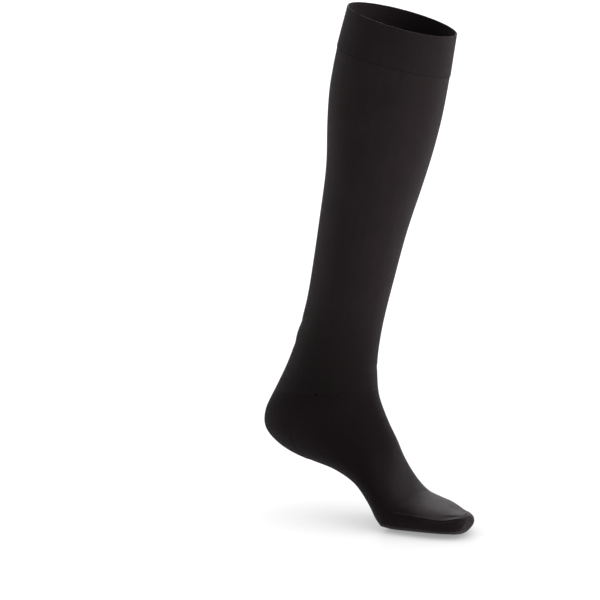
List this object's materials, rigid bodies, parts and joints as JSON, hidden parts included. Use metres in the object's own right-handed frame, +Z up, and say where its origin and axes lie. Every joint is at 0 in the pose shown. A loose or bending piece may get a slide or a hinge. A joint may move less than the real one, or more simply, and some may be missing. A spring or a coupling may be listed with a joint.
{
  "type": "compression stocking",
  "caption": "Knee-high closed-toe compression stocking in opaque black knit, with a double top band, heel pocket and sewn toe, in its worn form with the heel raised.",
  "frame": {"origin": "middle of the leg opening at the top edge, where the wearer's leg holds the stocking up", "axes": "+Z up along the height of the stocking, +X forwards to the toe, +Y to the outer side of the left leg"},
  "size_m": [0.2139, 0.098, 0.4687],
  "materials": {
    "band_knit": "matt, dense double knit of black nylon and elastane",
    "leg_knit": "matt with a soft sheen at grazing angles, opaque fine black knit",
    "pocket_knit": "matt, closer black knit"
  },
  "bodies": {
    "root": {"top_band": "band_knit", "leg": "leg_knit", "heel_pocket": "pocket_knit", "foot": "leg_knit", "toe_pocket": "pocket_knit"}
  },
  "joints": []
}
